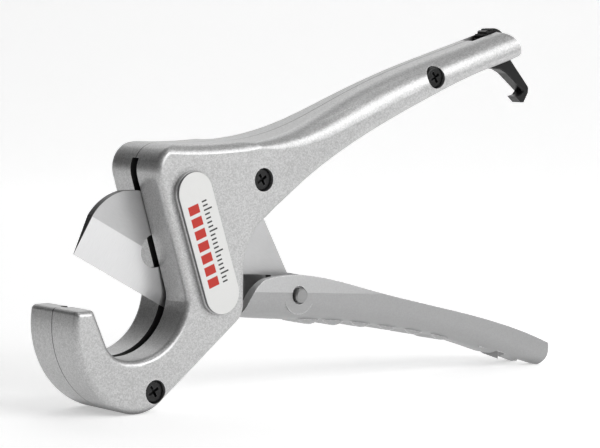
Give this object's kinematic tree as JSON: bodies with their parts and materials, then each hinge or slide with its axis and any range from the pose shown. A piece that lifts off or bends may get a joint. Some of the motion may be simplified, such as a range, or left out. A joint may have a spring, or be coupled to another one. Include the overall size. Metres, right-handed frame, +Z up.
{
  "type": "plastic pipe cutter",
  "caption": "One-hand plastic pipe cutter with a hooked pipe seat, scissor blade on a hinged channel handle, and a swing-in latch at the end of the fixed handle.",
  "frame": {"origin": "axis of the round pipe seat, on the parting plane of the two frame castings", "axes": "+X from the jaw towards the handles, +Y through the thickness towards the back casting, +Z up with the tool standing on its hook and lower handle"},
  "size_m": [0.2108, 0.029, 0.1225],
  "materials": {
    "cast_paint": "fine metallic silver paint on die-cast aluminium",
    "handle_paint": "smooth satin silver paint on die-cast aluminium",
    "blade_steel": "ground tool steel, bevel brightly ground",
    "black_oxide": "black oxide, satin",
    "black_latch": "black satin coat on cast steel",
    "badge": "printed silver-white plate",
    "zinc_steel": "plain bright steel",
    "pin_steel": "turned steel, dull",
    "spring_steel": "spring steel, dull",
    "bronze": "sintered bronze"
  },
  "bodies": {
    "frame": {"frame_front": "cast_paint", "frame_back": "cast_paint", "frame_screws": "black_oxide", "handle_screw": "black_oxide", "screw_lock_washers": "zinc_steel", "frame_dowels": "zinc_steel", "badge_plate": "badge", "pivot_pin": "zinc_steel", "pivot_washer": "zinc_steel", "pivot_disc_spring": "spring_steel", "latch_pin": "zinc_steel", "latch_washer": "zinc_steel", "latch_disc_spring": "spring_steel"},
    "lever": {"blade": "blade_steel", "pivot_bush": "bronze", "lower_handle": "handle_paint", "handle_pin": "pin_steel", "tail_spacers": "zinc_steel"},
    "latch_arm": {"latch": "black_latch"}
  },
  "joints": [
    {"name": "cutting_pivot", "type": "hinge", "parent": "frame", "child": "lever", "pos_m": [0.0362, 0, -0.005], "axis": [0, -1, 0], "range_deg": [-30, 39.5]},
    {"name": "latch_hinge", "type": "hinge", "parent": "frame", "child": "latch_arm", "pos_m": [0.1633, 0, 0.078], "axis": [0, -1, 0], "range_deg": [-62, 0]}
  ]
}
